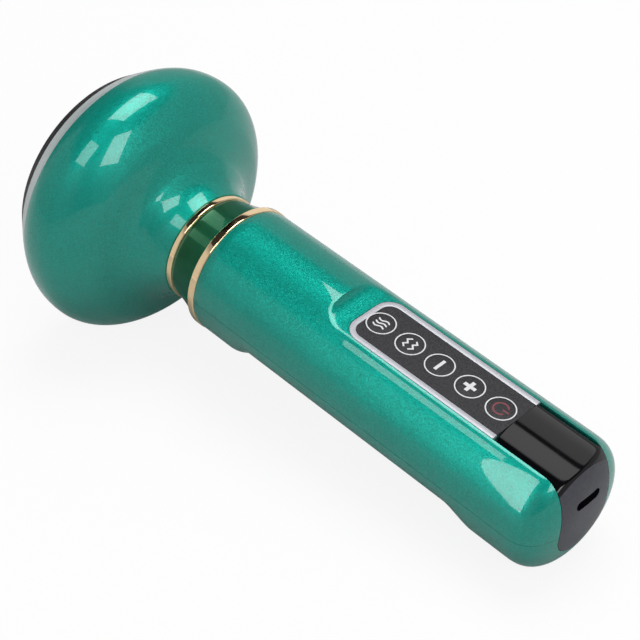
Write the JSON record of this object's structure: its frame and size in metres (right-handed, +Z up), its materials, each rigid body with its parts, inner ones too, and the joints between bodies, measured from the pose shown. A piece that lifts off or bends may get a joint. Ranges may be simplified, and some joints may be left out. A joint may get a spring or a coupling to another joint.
{
  "type": "electric cupping massager",
  "caption": "Handheld cupping massager: a wide suction cup head on a straight handle with a row of round keys and a charging socket in the end.",
  "frame": {"origin": "centre of the cup's rim face, on the handle's axis", "axes": "+Z up the handle, away from the cup; -Y out of the control panel; +X to the right when the panel is faced"},
  "size_m": [0.0856, 0.0856, 0.1891],
  "materials": {
    "paint": "metallic green paint with a glossy clear coat",
    "olive": "dark olive metallic, polished",
    "gold": "polished pale gold plating",
    "silver": "satin silver",
    "gloss": "polished black",
    "film": "fine textured dark film with pale printing",
    "plastic": "moulded dark plastic",
    "white": "open white foam",
    "steel": "plain steel",
    "brass": "turned brass",
    "rubber": "soft silicone",
    "diffuser": "frosted red diffuser",
    "board": "circuit board laminate",
    "cell": "blue sleeve"
  },
  "bodies": {
    "housing": {"cup_rim": "gloss", "trim_ring": "silver", "head_shell": "paint", "neck_ring_lower": "gold", "neck_band": "olive", "neck_ring_upper": "gold", "front_shell": "paint", "back_shell": "paint", "panel_frame": "silver", "control_overlay": "film", "end_insert": "gloss", "usb_shell": "steel", "usb_tongue": "plastic", "cup_floor": "plastic", "heating_plate": "steel", "magnet_1": "steel", "magnet_2": "steel", "magnet_3": "steel", "magnet_4": "steel", "magnet_5": "steel", "magnet_6": "steel", "light_ring": "diffuser", "suction_nozzle": "plastic", "nozzle_grille": "steel", "nozzle_filter": "white", "cup_seal": "rubber", "light_board": "board", "head_chassis": "plastic", "chassis_screw_1": "steel", "chassis_screw_2": "steel", "chassis_screw_3": "steel", "chassis_screw_4": "steel", "suction_tube": "rubber", "pump_head": "plastic", "pump_diaphragm": "rubber", "pump_frame": "plastic", "pump_motor": "steel", "motor_screw_1": "steel", "motor_screw_2": "steel", "valve_tube": "rubber", "release_valve": "steel", "vibration_motor": "steel", "battery_cell": "cell", "main_board": "board", "board_screw_1": "steel", "board_screw_2": "steel", "board_screw_3": "steel", "board_screw_4": "steel", "usb_board": "board"},
    "key_wave": {"key_wave": "film"},
    "key_pulse": {"key_pulse": "film"},
    "key_minus": {"key_minus": "film"},
    "key_plus": {"key_plus": "film"},
    "key_power": {"key_power": "film"},
    "pump_rotor": {"pump_rotor": "brass"},
    "valve_plunger": {"valve_plunger": "brass"},
    "vibration_weight": {"vibration_weight": "brass"}
  },
  "joints": [
    {"name": "key_wave_press", "type": "slide", "parent": "housing", "child": "key_wave", "axis": [0, 1, 0], "range_m": [0, 0.0004], "stiffness_N_per_m": 200},
    {"name": "key_pulse_press", "type": "slide", "parent": "housing", "child": "key_pulse", "axis": [0, 1, 0], "range_m": [0, 0.0004], "stiffness_N_per_m": 200},
    {"name": "key_minus_press", "type": "slide", "parent": "housing", "child": "key_minus", "axis": [0, 1, 0], "range_m": [0, 0.0004], "stiffness_N_per_m": 200},
    {"name": "key_plus_press", "type": "slide", "parent": "housing", "child": "key_plus", "axis": [0, 1, 0], "range_m": [0, 0.0004], "stiffness_N_per_m": 200},
    {"name": "key_power_press", "type": "slide", "parent": "housing", "child": "key_power", "axis": [0, 1, 0], "range_m": [0, 0.0004], "stiffness_N_per_m": 200},
    {"name": "pump_spin", "type": "hinge", "parent": "housing", "child": "pump_rotor", "pos_m": [0, 0.00105, 0.08155], "axis": [0, 0, 1], "continuous": true},
    {"name": "valve_slide", "type": "slide", "parent": "housing", "child": "valve_plunger", "axis": [0, 0, -1], "range_m": [0, 0.0015], "stiffness_N_per_m": 100},
    {"name": "vibration_spin", "type": "hinge", "parent": "housing", "child": "vibration_weight", "pos_m": [-0.0137, -0.00393, 0.119], "axis": [0, 0, 1], "continuous": true}
  ]
}
